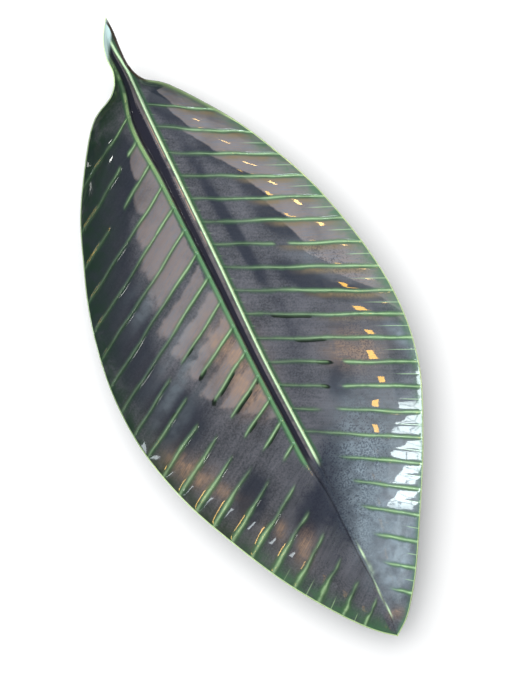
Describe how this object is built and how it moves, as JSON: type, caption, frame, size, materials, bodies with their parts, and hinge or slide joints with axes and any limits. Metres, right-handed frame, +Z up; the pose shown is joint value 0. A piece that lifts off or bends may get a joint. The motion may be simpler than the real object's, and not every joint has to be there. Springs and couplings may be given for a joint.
{
  "type": "leaf-shaped dish",
  "caption": "Long shallow serving dish in the shape of a banana leaf, with raised side veins, a grooved midrib and a rising stem, in glossy dark green and slate glaze.",
  "frame": {"origin": "middle of the dish's outline seen from above, at the height of the flat belly that it rests on", "axes": "+Y along the midrib towards the stem, +X to the right of it with the stem away from the viewer, +Z up out of the dish"},
  "size_m": [0.1754, 0.3996, 0.0418],
  "materials": {
    "glaze": "glossy"
  },
  "bodies": {
    "root": {"leaf_dish": "glaze"}
  },
  "joints": []
}
